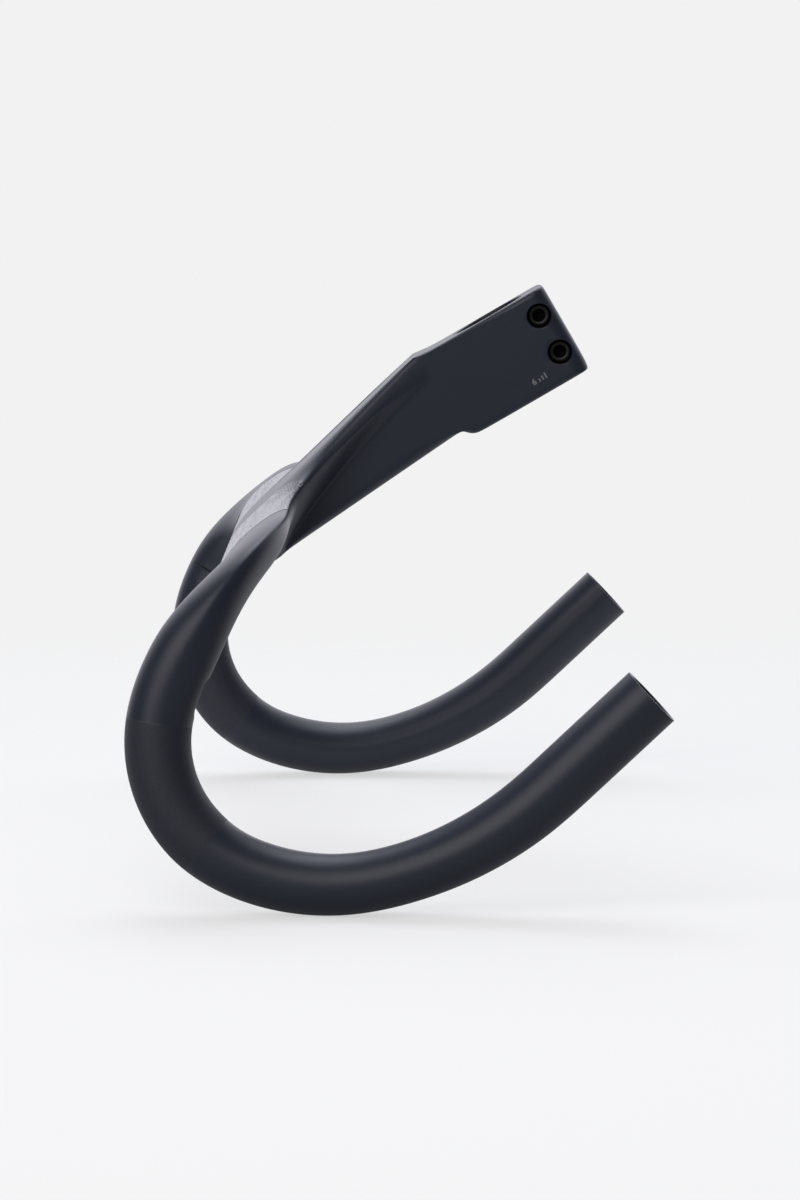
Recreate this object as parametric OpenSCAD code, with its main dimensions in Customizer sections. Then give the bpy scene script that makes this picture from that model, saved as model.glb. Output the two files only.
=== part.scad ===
// One-piece road handlebar and stem, with its steerer clamp bolts and inserts.
// X points to the rider's left, -Y forward, Z up along the steerer axis.
// The origin is on the steerer axis, at the underside of the clamp. Shapes are worked out
// from the top of the clamp downward and lifted into place at the end.

/* [Bar] */
// Distance between the ramps, centre to centre
hood_width = 382; // [340:2:440]
// Outward lean of each drop below the ramp, in degrees
drop_flare = 4; // [0:0.5:10]
// Tube diameter where the lever clamps on
hood_d = 24.4; // [23.4:0.1:25]
// Tube diameter in the middle of the drop, where the palm rests
grip_d = 22; // [20.5:0.1:23.5]
// Tube diameter at the open ends
end_d = 23.8; // [22.4:0.1:24.4]
// Bore of the open ends, which takes the plugs
end_bore_d = 20; // [17:0.1:20.4]
// Depth of the bore in each open end
end_bore_depth = 42; // [20:1:48]

/* [Bends] */
// Radius of the corner between top and ramp, seen from above
corner_r = 46; // [36:1:60]
// Radius of the ramp, seen from the side
ramp_r = 128; // [110:1:160]
// Angle that the ramp bends through
ramp_turn = 25; // [20:1:30]
// Radius of the bend under the lever
hood_r = 48.5; // [42:0.5:56]
// Angle of the bend under the lever
hood_turn = 87; // [80:1:94]
// Radius of the bottom of the drop
drop_r = 82; // [70:1:95]
// Angle of the bottom of the drop
drop_turn = 36; // [30:1:42]
// Radius of the last bend before the straight end
tail_r = 132; // [110:1:150]
// Angle of the last bend
tail_turn = 31; // [26:1:36]
// Length of the straight end
tail_len = 50; // [50:1:70]

/* [Tops] */
// Front-to-rear width of the wing
wing_chord = 38; // [34:1:46]
// Thickness of the wing
wing_thick = 14.5; // [12:0.5:18]
// Nose-down tilt of the wing against the steerer's right angle
wing_tilt = 14; // [10:1:18]
// Distance from the steerer axis forward to the middle of the wing
stem_reach = 119; // [105:1:135]
// Distance of the middle of the wing below the top of the clamp
wing_fall = 27.2; // [25:0.1:32]
// How squarely the upper rear edge of the wing turns over, 2 is an ellipse
rear_edge = 2.8; // [2:0.1:3.4]

/* [Zones along each side] */
// Distance over which the wing swells into the round tube
swell_len = 42; // [36:1:44]
// Distance from the wing to the start of the lever zone
zone_start = 66; // [60:1:72]
// Length of the lever zone
zone_len = 50; // [44:1:52]
// Length of the first taper behind the lever zone
first_taper = 10; // [6:1:14]
// Length of the second taper, down to the middle of the drop
second_taper = 62; // [50:1:70]
// Distance that the full end diameter starts past the last bend
end_lead = 8; // [0:1:16]

/* [Stem] */
// Width of the stem
stem_w = 38; // [36:0.5:44]
// Height of the clamp on the steerer
clamp_h = 37.8; // [36:0.2:46]
// Distance from the steerer axis to the rear face
rear_reach = 24.4; // [22.8:0.2:28]
// Distance from the steerer axis forward to the bend in the top line
top_flat = 34; // [28:1:40]
// Height of the low ridge at that bend above the top of the clamp
ridge_rise = 1; // [0.2:0.1:1.6]
// Length of the ramp behind that ridge
ridge_run = 9; // [6:1:10]
// Distance from the steerer axis forward to the front of the bottom boss
boss_reach = 26; // [20:1:28]
// Length of the step in front of the bottom boss
boss_step = 6; // [4:1:14]
// Height of the step in front of the bottom boss
boss_rise = 4; // [2:0.5:6]
// Depth of the nose below the middle of the wing
nose_depth = 13.2; // [11:0.1:16]
// Rounding of the long edges of the clamp and its bottom boss
edge_round = 2; // [1.5:0.5:4]
// Rounding of the long edges under the stem
under_round = 4.5; // [2:0.5:5]
// Rounding of the two upright rear edges
rear_round = 6.5; // [4:0.5:8]
// Blunting of the corners of the rear face
corner_blunt = 1; // [0.5:0.1:2]
// How far the web between stem and wing runs back along the stem
web_reach = 74; // [50:1:78]
// Distance over which that web fades out along the wing
web_fade = 10; // [8:0.5:12]
// Height of the web's lower edge above the middle of the wing, beside the stem
web_rise = 2; // [0:0.1:3]
// How squarely the upper edge of the web turns over beside the stem
web_edge = 7; // [3:0.5:9]
// How hollow the underside of the web is beside the stem, 2 is an ellipse and 1 is straight
web_hollow = 0.65; // [0.5:0.05:1.4]

/* [Clamp] */
// Diameter of the steerer tube
steerer_d = 28.6; // [28.6:0.1:28.6]
// Gap between the steerer and its bore, on the radius
steerer_gap = 0.05; // [0.02:0.01:0.1]
// Diameter of the recess for the top cover
recess_d = 31; // [30:0.5:34]
// Depth of the recess for the top cover
recess_depth = 3; // [2:0.5:4]
// Width of the slit in the rear of the clamp
slit_w = 1.6; // [1:0.1:2.5]
// Distance of the bolt axes behind the steerer axis
bolt_back = 17.3; // [17.3:0.1:17.8]
// Depth of the upper bolt below the top of the clamp
bolt_upper = 9.7; // [9:0.1:12]
// Distance between the two bolts
bolt_pitch = 16.4; // [14:0.2:18]

/* [Bolts] */
// Thread diameter of the bolts
bolt_d = 5; // [5:0.1:5]
// Length of the bolts under the head
bolt_len = 25; // [24:0.5:25.5]
// Head diameter
head_d = 8.5; // [8:0.1:9]
// Head height
head_h = 5; // [4:0.1:5]
// Width of the hexagonal socket across its flats
socket_w = 4; // [4:0.1:4]
// Depth of the socket
socket_depth = 2.8; // [2:0.1:3]
// Bevel at the top of the head
head_edge = 0.5; // [0.2:0.1:0.8]
// Distance of the head's seat from the middle plane
head_seat = 9; // [8.8:0.1:10]
// Gap around the head in its pocket, on the radius
head_gap = 0.6; // [0.3:0.1:0.7]
// Gap around the shank in its hole, on the radius
shank_gap = 0.15; // [0.1:0.05:0.25]
// Gap between the shank and the thread crests of the insert, on the radius
thread_gap = 0.03; // [0.02:0.01:0.06]

/* [Inserts] */
// Outer diameter of the threaded insert
insert_d = 7.6; // [7:0.1:8]
// Diameter of the insert's flange
flange_d = 9.4; // [9:0.1:10]
// Thickness of the insert's flange
flange_t = 1.2; // [1:0.1:1.6]
// Depth of the flange below the side of the stem
flange_sink = 0.6; // [0.3:0.1:1]
// Length of the insert under its flange
insert_len = 7.6; // [6:0.1:8]
// Gap around the insert in its pocket, on the radius
insert_gap = 0.05; // [0.03:0.01:0.1]

/* [Hose ports] */
// Width of the port under each ramp
ramp_port_w = 7; // [5:0.5:8]
// Length of the port under each ramp
ramp_port_len = 16; // [12:1:20]
// Depth of the port under each ramp
ramp_port_depth = 6; // [4:0.5:7]
// Distance from the wing to the middle of the port under each ramp
ramp_port_reach = 52; // [50:1:56]
// Width of the port under the stem
stem_port_w = 16; // [12:1:20]
// Length of the port under the stem
stem_port_len = 34; // [26:1:38]
// Depth of the port under the stem
stem_port_depth = 18; // [12:1:20]
// Distance from the steerer axis forward to the middle of the stem port
stem_port_reach = 58; // [54:1:62]

/* [Hidden] */
$fn = 64;

// Points in a quarter of each ring of the shell
quarter = 8;
// Length of shell between rings along the drop
ring_step = 6.5;
// Rings in each corner, in each rounded stem edge and in the web beside the stem
corner_rings = 9;
edge_rings = 3;
web_rings = 8;
// Excess length of a cutting tool past the face it cuts
over = 1;

wing_half = wing_chord / 2;
thick_half = wing_thick / 2;
stem_half = stem_w / 2;
flange_seat = -stem_half + flange_sink + flange_t;
tops_half = hood_width / 2 - corner_r;
steerer_bore_r = steerer_d / 2 + steerer_gap;
wing_mid = [-stem_reach, -wing_fall];
// Directions in the side plane: along the wing to the rear, and out of its upper side
wing_back = [cos(wing_tilt), sin(wing_tilt)];
wing_up = [-sin(wing_tilt), cos(wing_tilt)];
crest = wing_mid + thick_half * wing_up;
keel = wing_mid - nose_depth * wing_up;
step_foot = [-boss_reach - boss_step, boss_rise - clamp_h];

// Bends of one side in order from the corner, as radius and angle, with the straight end last
BENDS = [[ramp_r, ramp_turn], [hood_r, hood_turn], [drop_r, drop_turn], [tail_r, tail_turn]];
function arc_len(bend) = bend[0] * bend[1] * PI / 180;
function bends_len(last) = last < 0 ? 0 : arc_len(BENDS[last]) + bends_len(last - 1);
path_len = bends_len(len(BENDS) - 1) + tail_len;
// Where the tapers and the full end diameter start
zone_end = zone_start + zone_len;
grip_start = zone_end + first_taper;
grip_mid = grip_start + second_taper;
end_start = path_len - tail_len + end_lead;

// A step that eases in and out between 0 and 1
function ease(t) = let(u = min(1, max(0, t))) u * u * (3 - 2 * u);
function mix(a, b, t) = a + (b - a) * t;

// Point and heading in the side plane after a distance along the bends
function along(dist, i = 0, from = wing_mid, head = wing_tilt) =
    i == len(BENDS) ? [from - dist * [cos(head), sin(head)], head] :
    let(full = arc_len(BENDS[i]), r = BENDS[i][0], go = min(dist, full), turned = go / r * 180 / PI,
        next = head + turned,
        to = from - r * [sin(next) - sin(head), cos(head) - cos(next)])
    dist <= full ? [to, next] : along(dist - full, i + 1, to, next);

// Distance of a side-plane point below the plane of wing and ramp
function below(p) = (p - wing_mid) * -wing_up;
lean_start = below(along(corner_r)[0]);
function half_width(dist) =
    hood_width / 2 + tan(drop_flare) * max(0, below(along(dist)[0]) - lean_start);

// Half thickness of the tube after a distance along the side
function tube_half(dist) =
    dist < swell_len ? mix(thick_half, hood_d / 2, ease(dist / swell_len)) :
    dist < zone_end ? hood_d / 2 :
    dist < grip_start ? mix(hood_d, (hood_d + grip_d) / 2, ease((dist - zone_end) / (grip_start - zone_end))) / 2 :
    dist < grip_mid ? mix((hood_d + grip_d) / 2, grip_d, ease((dist - grip_start) / (grip_mid - grip_start))) / 2 :
    mix(grip_d, end_d, ease((dist - grip_mid) / (end_start - grip_mid))) / 2;
function tube_wide(dist) = max(tube_half(dist), mix(wing_half, hood_d / 2, ease(dist / swell_len)));

// One quarter turn of a section: half axes a and b, and how squarely it turns
function bend_x(angle, a, n) = a * sign(cos(angle)) * pow(abs(cos(angle)), 2 / n);
function bend_y(angle, b, n) = b * sign(sin(angle)) * pow(abs(sin(angle)), 2 / n);
// Section as offsets [rearward, up] from its middle. n is how squarely the upper rear turns
// over, hollow how the lower rear does, and rise how high the rear tip stands
function section(rear, front, up, low, n, hollow = 2, rise = 0) =
    [for (k = [0 : 4 * quarter - 1]) let(a = k * 90 / quarter,
        behind = k < quarter || k > 3 * quarter, tip = behind ? rise : 0,
        x = cos(a) >= 0 ? rear : front, y = sin(a) >= 0 ? up - tip : low + tip,
        m = k < quarter ? n : k > 3 * quarter ? hollow : 2)
        [bend_x(a, x, m), tip + bend_y(a, y, m)]];

// Places a section at a side-plane point and half width, turned by a plan angle in the corner
function place(sec, p, wide, head, plan, lean = 0) =
    let(up = [0, -sin(head), cos(head)],
        run = [cos(plan), -sin(plan) * cos(head), -sin(plan) * sin(head)] + lean * [1, 0, 0],
        out = cross(up, run) / norm(run))
    [for (q = sec) [wide, p[0], p[1]] + q[0] * out + q[1] * up];

// The wing between the web and the corner, and the web beside the stem
function wing_ring(x) =
    let(fade = exp(-(x - stem_half) / web_fade))
    place(section(wing_half + web_reach * fade, wing_half, thick_half,
        mix(thick_half, nose_depth, fade), mix(rear_edge, web_edge, fade),
        mix(2, web_hollow, sqrt(fade)), web_rise * fade),
        wing_mid, x, wing_tilt, 0);

function corner_ring(plan) =
    let(dist = corner_r * (1 - cos(plan)), at = along(dist))
    place(section(tube_wide(dist), tube_wide(dist), tube_half(dist), tube_half(dist),
        mix(rear_edge, 2, ease(dist / swell_len))),
        at[0], tops_half + corner_r * sin(plan), at[1], plan);

function side_ring(dist) =
    let(at = along(dist), slope = tan(drop_flare) * ([cos(at[1]), sin(at[1])] * wing_up))
    place(section(tube_wide(dist), tube_wide(dist), tube_half(dist), tube_half(dist), 2),
        at[0], half_width(dist), at[1], 90, slope);

// Side outline of the stem at a distance x from the middle plane. The edges of the clamp and of
// the underside are drawn in towards the side faces, those that run into wing and web aren't
function round_in(x, r) = let(d = max(0, x - (stem_half - r))) r - sqrt(max(0, r * r - d * d));
function stem_ring(x) =
    let(in = round_in(x, edge_round),
        y = rear_reach - round_in(x, rear_round), top = -in, bottom = in - clamp_h, tip = corner_blunt,
        foot = step_foot + [0, round_in(x, under_round)],
        nose = section(wing_half, wing_half, thick_half, nose_depth, 2))
    [for (p = concat(
        [[y, (top + bottom) / 2], [y, top - tip], [y - tip, top], [ridge_run - top_flat, top]],
        [for (k = [0 : quarter - 5]) mix([-top_flat, ridge_rise], crest, k / (quarter - 4))],
        [for (k = [quarter : 3 * quarter - 1]) wing_mid + nose[k][0] * wing_back + nose[k][1] * wing_up],
        [for (k = [0 : quarter - 4]) mix(keel, foot, k / (quarter - 4))],
        [[-boss_reach, bottom], [y - tip, bottom], [y, bottom + tip]]))
        [x, p[0], p[1]]];

// Rings of the left half, from the middle of the stem out to the open end
edge_xs = [for (k = [0 : edge_rings]) stem_half - rear_round * (1 - sin(90 * k / edge_rings))];
// The web starts a hair outside the side face and is gone after a few times its fade
web_start = stem_half + 0.3;
web_xs = [for (k = [0 : web_rings]) web_start + 3.6 * web_fade * pow(k / web_rings, 1.8)];
side_count = ceil((path_len - corner_r) / ring_step);
left_rings = concat(
    [for (x = edge_xs) stem_ring(x)],
    [for (x = web_xs) wing_ring(x)],
    [for (t = [1 / 3, 2 / 3]) wing_ring(mix(web_xs[web_rings], tops_half, t))],
    [for (k = [0 : corner_rings]) corner_ring(90 * k / corner_rings)],
    [for (k = [1 : side_count]) side_ring(mix(corner_r, path_len, k / side_count))]);

function mirrored(ring) = [for (p = ring) [-p[0], p[1], p[2]]];
half_count = len(left_rings);
all_rings = concat([for (k = [half_count - 1 : -1 : 0]) mirrored(left_rings[k])], left_rings);

module shell(rings) {
    n = len(rings[0]);
    m = len(rings);
    points = [for (ring = rings, p = ring) p];
    walls = [for (i = [0 : m - 2], j = [0 : n - 1]) let(a = i * n + j, b = i * n + (j + 1) % n)
        for (tri = [[a, b + n, b], [a, a + n, b + n]]) tri];
    caps = [[for (j = [0 : n - 1]) j], [for (j = [n - 1 : -1 : 0]) (m - 1) * n + j]];
    polyhedron(points, concat(walls, caps), convexity = 8);
}

// Turns a tool that points along +Z onto the axis of an open end, with its foot at the mouth
module at_end(side) {
    at = along(path_len);
    slope = tan(drop_flare) * ([cos(at[1]), sin(at[1])] * wing_up);
    run = [slope, -cos(at[1]), -sin(at[1])];
    mirror([side < 0 ? 1 : 0, 0, 0])
        translate([half_width(path_len), at[0][0], at[0][1]])
            rotate([0, acos(run[2] / norm(run)), atan2(run[1], run[0])]) children();
}

// A slot with round ends along Y, cut downward from z = 0
module slot(w, length, depth) {
    for (end = [-1, 1]) translate([0, end * (length - w) / 2, -depth]) cylinder(d = w, h = depth + over);
    translate([-w / 2, -(length - w) / 2, -depth]) cube([w, length - w, depth + over]);
}

// Turns a tool that points along +Z onto a bolt axis, pointing left; 0 is the upper bolt
module on_bolt_axis(k) {
    translate([0, bolt_back, -bolt_upper - k * bolt_pitch]) rotate([0, 90, 0]) children();
}

module along_bolts() {
    for (k = [0, 1]) on_bolt_axis(k) children();
}

module steerer_cut() {
    translate([0, 0, -clamp_h - over]) cylinder(r = steerer_bore_r, h = clamp_h + 2 * over);
    translate([0, 0, -recess_depth]) cylinder(d = recess_d, h = recess_depth + over);
    translate([-slit_w / 2, 0, -clamp_h - over]) cube([slit_w, rear_reach + over, clamp_h + 2 * over]);
}

// Pockets for the bolt heads on the left, and for the flanged inserts on the right
module bolt_cut() {
    along_bolts() {
        translate([0, 0, head_seat]) cylinder(d = head_d + 2 * head_gap, h = stem_half);
        translate([0, 0, -stem_half]) cylinder(d = bolt_d + 2 * shank_gap, h = stem_w);
        translate([0, 0, flange_seat - stem_half]) cylinder(d = flange_d + 2 * insert_gap, h = stem_half);
        translate([0, 0, flange_seat - over]) cylinder(d = insert_d + 2 * insert_gap, h = insert_len + over);
    }
}

module end_bores() {
    for (side = [-1, 1]) at_end(side)
        translate([0, 0, -end_bore_depth]) cylinder(d = end_bore_d, h = end_bore_depth + over);
}

// Ports where the hoses enter under each ramp and leave under the stem
module hose_ports() {
    at = along(ramp_port_reach);
    p = at[0] - tube_half(ramp_port_reach) * [-sin(at[1]), cos(at[1])];
    for (side = [-1, 1]) translate([side * half_width(ramp_port_reach), p[0], p[1]])
        rotate([at[1] + 180, 0, 0]) slot(ramp_port_w, ramp_port_len, ramp_port_depth);
    run = keel - step_foot;
    level = step_foot + run * ((-stem_port_reach - step_foot[0]) / run[0]);
    translate([0, level[0], level[1]]) rotate([atan2(run[1], run[0]), 0, 0])
        slot(stem_port_w, stem_port_len, stem_port_depth);
}

// Lifts what is worked out from the top of the clamp, so that its underside is at z = 0
module lifted() { translate([0, 0, clamp_h]) children(); }

module handlebar() {
    color([0.17, 0.18, 0.2]) lifted() difference() {
        shell(all_rings);
        steerer_cut();
        bolt_cut();
        end_bores();
        hose_ports();
    }
}

// Socket head cap screw with its head seated in the pocket
module clamp_bolt() {
    color([0.08, 0.08, 0.09]) translate([0, 0, head_seat]) difference() {
        union() {
            cylinder(d = head_d, h = head_h - head_edge);
            translate([0, 0, head_h - head_edge]) cylinder(d1 = head_d, d2 = head_d - 2 * head_edge, h = head_edge);
            translate([0, 0, -bolt_len]) cylinder(d = bolt_d, h = bolt_len + head_edge);
        }
        translate([0, 0, head_h - socket_depth])
            cylinder(d = socket_w / cos(30), h = socket_depth + over, $fn = 6);
    }
}

// Flanged sleeve with a thread through it, let in from the right
module clamp_insert() {
    color([0.6, 0.61, 0.63]) translate([0, 0, flange_seat]) difference() {
        union() {
            translate([0, 0, -flange_t]) cylinder(d = flange_d, h = flange_t);
            translate([0, 0, -flange_t / 2]) cylinder(d = insert_d, h = insert_len + flange_t / 2);
        }
        translate([0, 0, -flange_t - over])
            cylinder(d = bolt_d + 2 * thread_gap, h = insert_len + flange_t + 2 * over);
    }
}

module clamp_bolt_upper() { lifted() on_bolt_axis(0) clamp_bolt(); }
module clamp_bolt_lower() { lifted() on_bolt_axis(1) clamp_bolt(); }
module clamp_insert_upper() { lifted() on_bolt_axis(0) clamp_insert(); }
module clamp_insert_lower() { lifted() on_bolt_axis(1) clamp_insert(); }

handlebar();
clamp_bolt_upper();
clamp_bolt_lower();
clamp_insert_upper();
clamp_insert_lower();
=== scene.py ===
"""The looks of a one-piece carbon road handlebar and stem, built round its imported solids."""
import math

import bpy
import numpy as np
from mathutils import Matrix, Vector


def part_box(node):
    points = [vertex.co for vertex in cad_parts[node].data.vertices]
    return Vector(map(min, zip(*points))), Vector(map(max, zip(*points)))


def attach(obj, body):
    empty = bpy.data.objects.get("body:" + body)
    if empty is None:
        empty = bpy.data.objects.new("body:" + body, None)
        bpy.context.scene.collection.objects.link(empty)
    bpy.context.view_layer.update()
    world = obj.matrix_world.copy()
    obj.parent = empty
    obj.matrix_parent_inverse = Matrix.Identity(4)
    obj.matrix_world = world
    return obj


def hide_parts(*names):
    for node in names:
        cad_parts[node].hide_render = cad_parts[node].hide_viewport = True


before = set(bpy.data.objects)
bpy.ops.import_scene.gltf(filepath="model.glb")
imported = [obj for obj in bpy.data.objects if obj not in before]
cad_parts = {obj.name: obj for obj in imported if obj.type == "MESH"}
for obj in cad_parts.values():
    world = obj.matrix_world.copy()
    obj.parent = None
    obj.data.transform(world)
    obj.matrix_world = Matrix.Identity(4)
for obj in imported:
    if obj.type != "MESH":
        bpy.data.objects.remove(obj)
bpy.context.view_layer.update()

MM = 0.001

# Sizes of the bar in millimetres, as it is built. X is left, -Y forward, Z up the steerer axis
HOOD_WIDTH = 382
DROP_FLARE = 4
HOOD_D = 24.4
GRIP_D = 22
END_D = 23.8
END_BORE_D = 20
END_BORE_DEPTH = 42
CORNER_R = 46
BENDS = ((128, 25), (48.5, 87), (82, 36), (132, 31))
TAIL_LEN = 50
WING_CHORD = 38
WING_THICK = 14.5
WING_TILT = 14
STEM_REACH = 119
WING_FALL = 27.2
# How pointed the rear edge of the tops is, where 2 is an ellipse, and how far it runs into the ramp,
# counted along the bar from the end of the straight tops
REAR_EDGE = 1.75
REAR_EDGE_LEN = 66
STEM_W = 38
CLAMP_H = 37.8
REAR_REACH = 24.4
TOP_FLAT = 34
RIDGE_RISE = 1
RIDGE_RUN = 9
BOSS_REACH = 28
BOSS_STEP = 4
BOSS_RISE = 4
# The heel of the boss step: its blunt corner, rearward and up, and where the flat underside starts
BOSS_HEEL = (1, 0.3)
BOSS_FLAT = 4
NOSE_DEPTH = 13.2
EDGE_ROUND = 2
UNDER_ROUND = 4.5
REAR_ROUND = 6.5
CORNER_BLUNT = 1
# Points this far from a corner of the clamp hold it tight when the ring is smoothed
CORNER_HOLD = 2.8
WEB_REACH = 74
WEB_FADE = 10
WEB_RISE = 2
WEB_EDGE = 7
WEB_HOLLOW = 0.65
# How far the underside of the web slopes down at the stem's side, and how fast that fades
WEB_SKIRT = 5.5
SKIRT_FADE = 2.4
STEERER_R = 14.35
RECESS_R = 15.5
RECESS_DEPTH = 3
SLIT_W = 1.6

SWELL_LEN = 42
ZONE_START = 66
ZONE_END = 116
GRIP_START = ZONE_END + 10
GRIP_MID = GRIP_START + 62
RAMP_PORT_DIST = 52
WING_HALF = WING_CHORD / 2
THICK_HALF = WING_THICK / 2
STEM_HALF = STEM_W / 2
TOPS_HALF = HOOD_WIDTH / 2 - CORNER_R
PATH_LEN = sum(radius * math.radians(angle) for radius, angle in BENDS) + TAIL_LEN
END_START = PATH_LEN - TAIL_LEN + 8

# The photograph's own directions: the bar stands on its drops, turned about its left-right axis
CAMERA_AT = Vector((1.980, 0.00812, 0.12118))
CAMERA_RIGHT = Vector((0, 0.86427, -0.50302))
CAMERA_UP = Vector((-0.09545, 0.50072, 0.86032))
CAMERA_LENS = 149.55
FLOOR_UP = Vector((0, 0.50302, 0.86427))
FLOOR_LEVEL = -0.17668
TO_CAMERA = Vector((1, 0, 0))

SMOOTH_LEVELS = 2

# Bolts and inserts, in millimetres. Seats are counted along X from the middle plane
BOLTS = ("clamp_bolt_upper", "clamp_bolt_lower")
INSERTS = ("clamp_insert_upper", "clamp_insert_lower")
BOLT_D = 5
BOLT_LEN = 25
THREAD_LEN = 16
THREAD_PITCH = 0.8
THREAD_DEPTH = 0.43
THREAD_STEPS = 6
THREAD_GAP = 0.03
HEAD_D = 8.5
HEAD_H = 5
HEAD_ROUND = 0.55
HEAD_KNURL = 0.14
HEAD_RIBS = 36
SOCKET_W = 4
SOCKET_DEPTH = 2.8
SOCKET_MOUTH = 2.65
INSERT_D = 7.6
INSERT_LEN = 7.6
INSERT_THREAD_DEPTH = 0.42
INSERT_KNURL = 0.16
INSERT_RIBS = 24
FLANGE_D = 9.4
FLANGE_T = 1.2
HEAD_POCKET_R = 4.85
SHANK_HOLE_R = 2.65
HEAD_SEAT = 9
INSERT_SEAT = -17.2
INSERT_HOLE_R = 3.85
FLANGE_HOLE_R = 4.75

# Cuts in the bar, in millimetres: rounded rims, how far a cutter stands past the surface, and the
# width, length and depth of the hose ports
RIM = 0.5
OVERCUT = 2
RAMP_PORT = (7, 16, 6)
STEM_PORT = (16, 34, 18)
STEM_PORT_REACH = 58
SLIT_RUN = 40
SLIT_TALL = 50
# The side face stands a hair proud of the stem's half width where the pockets are
POCKET_PROUD = 0.05
# The length below which an edge that a cut leaves is taken out, in metres
SLIVER = 0.000006
# Edges sharper than this, in degrees, are shaded as edges
BAR_SHARP = 32
SCREW_SHARP = 34

# The printed mark: its lower left corner on the side of the stem, its size, and its ticks
MARK_AT = (1.7, -32.3)
MARK_SIZE = 3.4
MARK_THICK = 0.03
MARK_BOLD = 0.1
# Each point of the mark is dropped onto the side face from this far out, in metres
RAY_FROM = 0.03
TICK_FIRST = 3.1
TICK_PITCH = 1.45
TICK_W = 0.6
TICK_TALL = 1.3
TICK_GROWTH = 0.55

# The grained part of the tops, in metres: its slanted borders, its end on the ramp, how far round the
# bar it runs, and the lines along it. The slants are how far sideways it goes for each metre rearward
GRIP_SLANT = 1.0
GRIP_INNER_SLANT = 0.5
GRIP_EDGE = 0.016
GRIP_INNER = 0.03
GRIP_LAST = (TOPS_HALF + 44) * MM
GRIP_LOW = 0.0004
GRIP_ROUND = math.pi * HOOD_D / 2 * MM
GRIP_BORDER = 0.0003
GRIP_LINE_HALF = 0.002
# The border line fades in, and the seam on the ramp fades out, between these distances off the middle
BORDER_FROM = (0.05, 0.06)
SEAM_TO = (0.181, 0.185)
SEAM_HALF = 0.0007
LEVER_BORDER = 0.0004
LEVER_LINE_HALF = 0.0005
GRAIN_CELL = 0.0013
GRAIN_DEPTH = 0.0003
WEAVE_CELL = 0.0016

PAINT_DEEP = (0.0195, 0.0245, 0.041, 1)
PAINT_PALE = (0.0225, 0.028, 0.046, 1)
PAINT_ROUGH = 0.41
LEVER_SPECK = (0.024, 0.025, 0.03, 1)
LEVER_LINE = (0.035, 0.036, 0.042, 1)
# Pale lavender of the grain dots: a real grain with painted sheen of the tops in its colour
GRAIN_DOT_AND_SHEEN = (0.12, 0.117, 0.138, 1)
GRIP_LINE = (0.004, 0.004, 0.005, 1)
CARBON = (0.006, 0.006, 0.007, 1)
CARBON_TOW = (0.013, 0.013, 0.015, 1)
STEEL = (0.007, 0.007, 0.008, 1)
STEEL_RUBBED = (0.022, 0.021, 0.021, 1)
LATHE_RING = 0.00012
ALLOY = (0.5, 0.51, 0.53, 1)
ALLOY_PALE = (0.62, 0.63, 0.65, 1)
# The socket's near-black colours are painted shade, where the deep socket gets no light
SOCKET_SHADE_DARK = (0.001, 0.001, 0.001, 1)
SOCKET_SHADE_PALE = (0.003, 0.003, 0.003, 1)
INK = (0.2, 0.2, 0.205, 1)
INK_PALE = (0.27, 0.27, 0.275, 1)

# The studio: what is seen of it, what the bar reflects of it, and the floor's shares of both
STAGE_MIDDLE = Vector((0, -0.08, 0))
BACKDROP = (0.887, 0.887, 0.887, 1)
FELT_TINT = (0.93, 0.92, 1, 1)
FELT_TILT = 0.35
FELT_FROM, FELT_TO = 0.3, 0.99
FELT_DIM, FELT_BRIGHT = 0.11, 1.45
FLOOR_RADIUS = 1.6
FLOOR_MATT = 0.42
FLOOR_MATT_DIM = 0.4
FLOOR_GLOW = 0.575
FLOOR_MIRROR = 0.24
FLOOR_MIRROR_DIM = 0.12
# Where the dim part in front of the bar sets in, and where the ground fades out, in metres
FLOOR_AHEAD = (0.02, 0.2)
FLOOR_FADE = (0.25, 1.1)


def sind(angle):
    return math.sin(math.radians(angle))


def cosd(angle):
    return math.cos(math.radians(angle))


def ease(t):
    """A step that eases in and out between 0 and 1."""
    u = min(1, max(0, t))
    return u * u * (3 - 2 * u)


def mix(a, b, t):
    return a + (b - a) * t


# Points in the side plane are (Y, Z), with Z counted down from the top of the clamp
WING_MID = np.array([-STEM_REACH, -WING_FALL], float)
WING_BACK = np.array([cosd(WING_TILT), sind(WING_TILT)])
WING_UP = np.array([-sind(WING_TILT), cosd(WING_TILT)])
CREST = WING_MID + THICK_HALF * WING_UP
KEEL = WING_MID - NOSE_DEPTH * WING_UP
STEP_FOOT = np.array([-BOSS_REACH - BOSS_STEP, BOSS_RISE - CLAMP_H])


def along(dist):
    """Point and heading in the side plane, a distance along the bends of one side."""
    at, head = WING_MID.copy(), WING_TILT
    for radius, angle in BENDS:
        full = radius * math.radians(angle)
        turned = head + math.degrees(min(dist, full) / radius)
        at = at - radius * np.array([sind(turned) - sind(head), cosd(head) - cosd(turned)])
        head = turned
        if dist <= full:
            return at, head
        dist -= full
    return at - dist * np.array([cosd(head), sind(head)]), head


def below(at):
    """Distance of a side-plane point below the plane of wing and ramp."""
    return -np.dot(at - WING_MID, WING_UP)


LEAN_START = below(along(CORNER_R)[0])
LEAN = math.tan(math.radians(DROP_FLARE))


def half_width(dist):
    return HOOD_WIDTH / 2 + LEAN * max(0, below(along(dist)[0]) - LEAN_START)


def tube_half(dist):
    """Half thickness of the tube, a distance along the side."""
    mean_d = (HOOD_D + GRIP_D) / 2
    if dist < SWELL_LEN:
        return mix(THICK_HALF, HOOD_D / 2, ease(dist / SWELL_LEN))
    if dist < ZONE_END:
        return HOOD_D / 2
    if dist < GRIP_START:
        return mix(HOOD_D, mean_d, ease((dist - ZONE_END) / (GRIP_START - ZONE_END))) / 2
    if dist < GRIP_MID:
        return mix(mean_d, GRIP_D, ease((dist - GRIP_START) / (GRIP_MID - GRIP_START))) / 2
    return mix(GRIP_D, END_D, ease((dist - GRIP_MID) / (END_START - GRIP_MID))) / 2


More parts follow.
